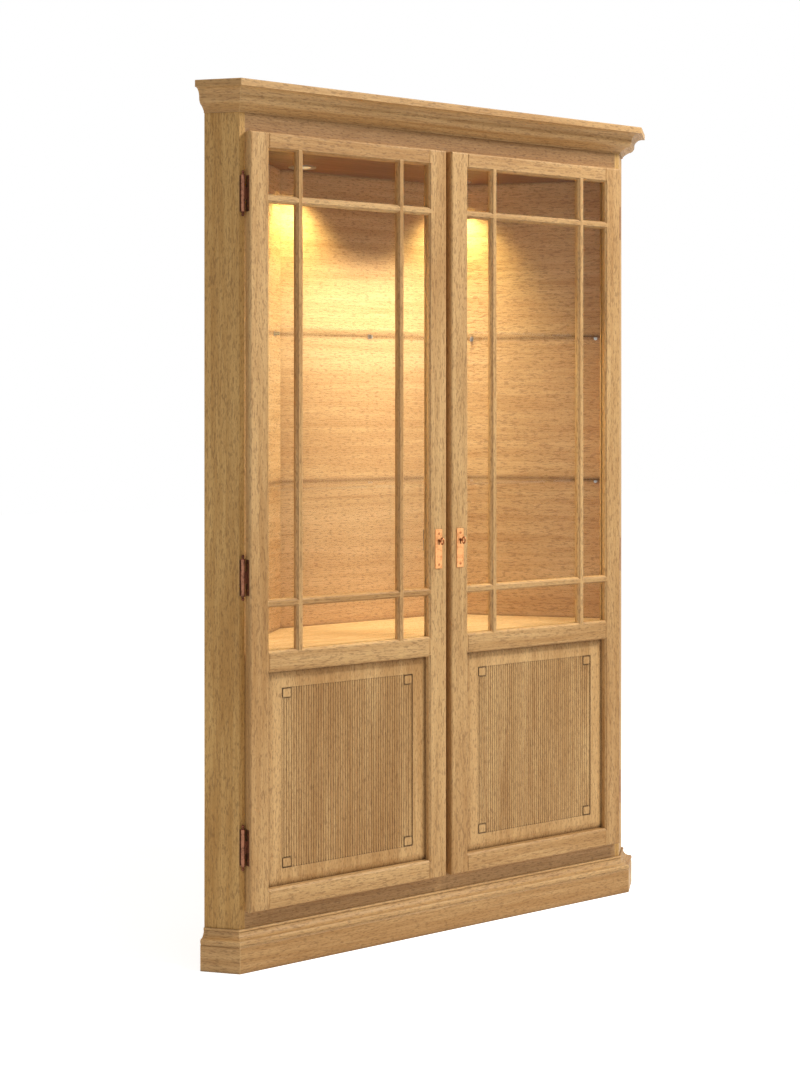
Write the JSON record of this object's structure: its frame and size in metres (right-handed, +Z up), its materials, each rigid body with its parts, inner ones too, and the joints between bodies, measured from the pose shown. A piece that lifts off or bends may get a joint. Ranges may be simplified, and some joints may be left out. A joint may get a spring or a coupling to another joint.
{
  "type": "corner display cabinet",
  "caption": "Oak corner display cabinet: glazed muntin doors over fluted panels, locks with keys, glass shelves, lit interior and a mitred cornice.",
  "frame": {"origin": "on the floor, under the middle of the cabinet's bounding box", "axes": "+Z up; the doors face -Y; +X to the viewer's right, in the plane of the front"},
  "size_m": [1.315, 0.424, 2],
  "materials": {
    "oak": "oiled light oak",
    "oak_inside": "oiled oak veneer",
    "glass": "clear polished",
    "copper": "aged copper",
    "lock_steel": "plain satin steel",
    "lamp_metal": "satin",
    "lamp_lens": "frosted, lit warm white"
  },
  "bodies": {
    "carcass": {"back_panel_centre": "oak_inside", "back_panel_left": "oak_inside", "back_panel_right": "oak_inside", "base_moulding_front": "oak", "base_moulding_left": "oak", "base_moulding_right": "oak", "base_rail": "oak", "bottom_board": "oak_inside", "ceiling_board": "oak_inside", "centre_post": "oak", "cornice_front": "oak", "cornice_left": "oak", "cornice_right": "oak", "cupboard_shelf": "oak_inside", "frieze": "oak", "glass_shelf_lower": "glass", "glass_shelf_upper": "glass", "hinge_frame_leaves": "copper", "hinge_pins": "copper", "lamp_housings": "lamp_metal", "lamp_lenses": "lamp_lens", "middle_board": "oak_inside", "plinth_front": "oak", "plinth_left": "oak", "plinth_right": "oak", "shelf_pins": "lock_steel", "side_left": "oak", "side_right": "oak", "strike_plates": "lock_steel", "top_board": "oak"},
    "door_left": {"door_left_escutcheon": "copper", "door_left_glass": "glass", "door_left_glazing_beads": "oak", "door_left_hinge_leaves": "copper", "door_left_lock_case": "lock_steel", "door_left_muntins_horizontal": "oak", "door_left_muntins_vertical": "oak", "door_left_panel": "oak", "door_left_rail_bottom": "oak", "door_left_rail_middle": "oak", "door_left_rail_top": "oak", "door_left_stile_hinge": "oak", "door_left_stile_lock": "oak"},
    "key_left": {"key_left": "copper"},
    "bolt_left": {"bolt_left": "lock_steel"},
    "door_right": {"door_right_escutcheon": "copper", "door_right_glass": "glass", "door_right_glazing_beads": "oak", "door_right_hinge_leaves": "copper", "door_right_lock_case": "lock_steel", "door_right_muntins_horizontal": "oak", "door_right_muntins_vertical": "oak", "door_right_panel": "oak", "door_right_rail_bottom": "oak", "door_right_rail_middle": "oak", "door_right_rail_top": "oak", "door_right_stile_hinge": "oak", "door_right_stile_lock": "oak"},
    "key_right": {"key_right": "copper"},
    "bolt_right": {"bolt_right": "lock_steel"}
  },
  "joints": [
    {"name": "left_door_hinge", "type": "hinge", "parent": "carcass", "child": "door_left", "pos_m": [-0.549, -0.1565, 0.885], "axis": [0, 0, -1], "range_deg": [0, 135]},
    {"name": "left_key_turn", "type": "hinge", "parent": "door_left", "child": "key_left", "pos_m": [-0.0315, -0.175, 0.947], "axis": [0, 1, 0], "range_deg": [0, 360]},
    {"name": "left_bolt_slide", "type": "slide", "parent": "door_left", "child": "bolt_left", "axis": [1, 0, 0], "range_m": [0, 0.008]},
    {"name": "right_door_hinge", "type": "hinge", "parent": "carcass", "child": "door_right", "pos_m": [0.549, -0.1565, 0.885], "axis": [0, 0, 1], "range_deg": [0, 135]},
    {"name": "right_key_turn", "type": "hinge", "parent": "door_right", "child": "key_right", "pos_m": [0.0315, -0.175, 0.947], "axis": [0, -1, 0], "range_deg": [0, 360]},
    {"name": "right_bolt_slide", "type": "slide", "parent": "door_right", "child": "bolt_right", "axis": [-1, 0, 0], "range_m": [0, 0.008]}
  ],
  "couplings": [
    {"joint": "left_key_turn", "follows": "left_bolt_slide", "rad_per_m": 785.3},
    {"joint": "right_key_turn", "follows": "right_bolt_slide", "rad_per_m": 785.3}
  ]
}
